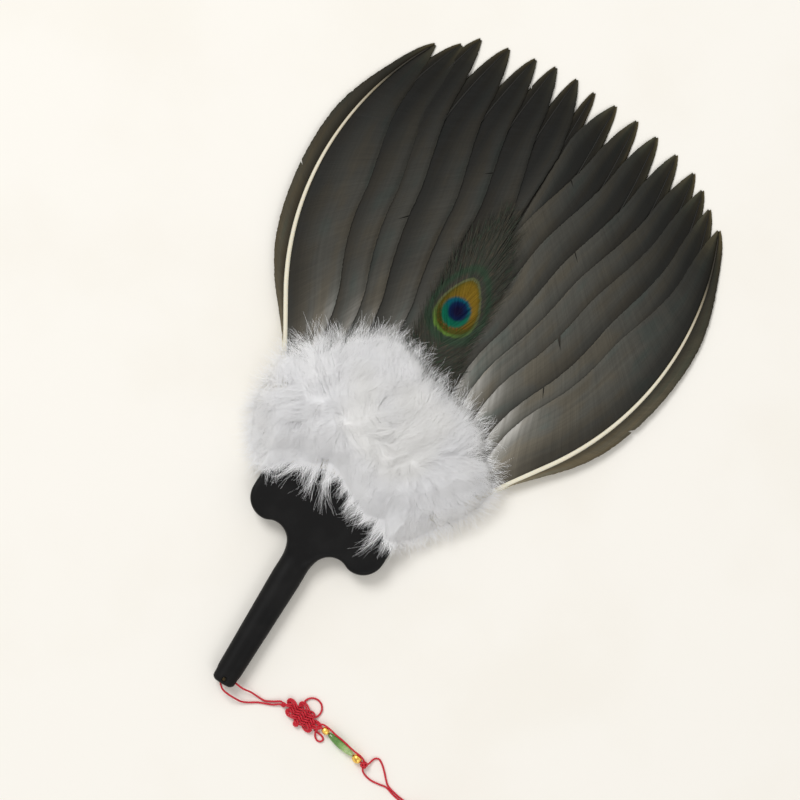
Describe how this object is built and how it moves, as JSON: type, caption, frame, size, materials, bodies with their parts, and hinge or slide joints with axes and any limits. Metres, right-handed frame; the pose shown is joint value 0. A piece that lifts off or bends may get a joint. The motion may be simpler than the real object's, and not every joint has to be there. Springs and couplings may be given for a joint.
{
  "type": "feather hand fan",
  "caption": "Rigid hand fan of dark flight feathers set in a lobed black handle, with a peacock eye feather, white down and a red knotted cord pendant with beads and tassel.",
  "frame": {"origin": "middle of the flat back of the handle's head", "axes": "+Y from the grip to the feather tips, +Z out of the front of the fan, +X to the right seen from the front with the tips up"},
  "size_m": [0.3204, 0.4311, 0.0303],
  "materials": {
    "black_lacquered_wood": "satin",
    "brass": "satin",
    "goose_feather": "matte",
    "pale_thread": "matte",
    "peacock_feather": "satin",
    "white_down": "matte",
    "red_cord": "satin",
    "gold": "gloss",
    "jade": "gloss"
  },
  "bodies": {
    "fan": {"handle": "black_lacquered_wood", "cord_pin": "brass", "feather_middle": "goose_feather", "feather_left_1": "goose_feather", "feather_left_2": "goose_feather", "feather_left_3": "goose_feather", "feather_left_4": "goose_feather", "feather_left_5": "goose_feather", "feather_left_6": "goose_feather", "feather_left_7": "goose_feather", "feather_right_1": "goose_feather", "feather_right_2": "goose_feather", "feather_right_3": "goose_feather", "feather_right_4": "goose_feather", "feather_right_5": "goose_feather", "feather_right_6": "goose_feather", "feather_right_7": "goose_feather", "feather_right_8": "goose_feather", "inner_binding_thread": "pale_thread", "outer_binding_thread": "pale_thread", "peacock_feather": "peacock_feather", "front_down_tuft": "white_down", "back_down_tuft": "white_down"},
    "cord_loop": {"hanging_loop": "red_cord"},
    "pendant": {"pendant_knot": "red_cord", "bead_cord": "red_cord", "side_cord": "red_cord", "stop_knot": "red_cord"},
    "upper_bead": {"upper_bead": "gold"},
    "jade_bead": {"jade_bead": "jade"},
    "lower_bead": {"lower_bead": "gold"},
    "tail": {"upper_tail_strand": "red_cord", "lower_tail_strand": "red_cord", "tassel_cap": "red_cord", "tassel_fringe": "red_cord"}
  },
  "joints": [
    {"name": "pendant_swing", "type": "hinge", "parent": "fan", "child": "cord_loop", "pos_m": [0, -0.1218, 0.007], "axis": [0, 0, 1], "range_deg": [-135, 0]},
    {"name": "pendant_lift", "type": "hinge", "parent": "cord_loop", "child": "pendant", "pos_m": [0.0385, -0.117, 0.00185], "axis": [0, -1, 0], "range_deg": [-60, 75]},
    {"name": "tail_swing", "type": "hinge", "parent": "pendant", "child": "tail", "pos_m": [0.09864, -0.12264, 0.00255], "axis": [0, 0, 1], "range_deg": [-60, 60]},
    {"name": "upper_bead_turn", "type": "hinge", "parent": "pendant", "child": "upper_bead", "pos_m": [0.06828, -0.11718, 0.003], "axis": [0.9842, -0.1771, 0], "continuous": true},
    {"name": "jade_bead_turn", "type": "hinge", "parent": "pendant", "child": "jade_bead", "pos_m": [0.08034, -0.11935, 0.003], "axis": [0.9842, -0.1771, 0], "continuous": true},
    {"name": "lower_bead_turn", "type": "hinge", "parent": "pendant", "child": "lower_bead", "pos_m": [0.09298, -0.12162, 0.003], "axis": [0.9842, -0.1771, 0], "continuous": true}
  ]
}
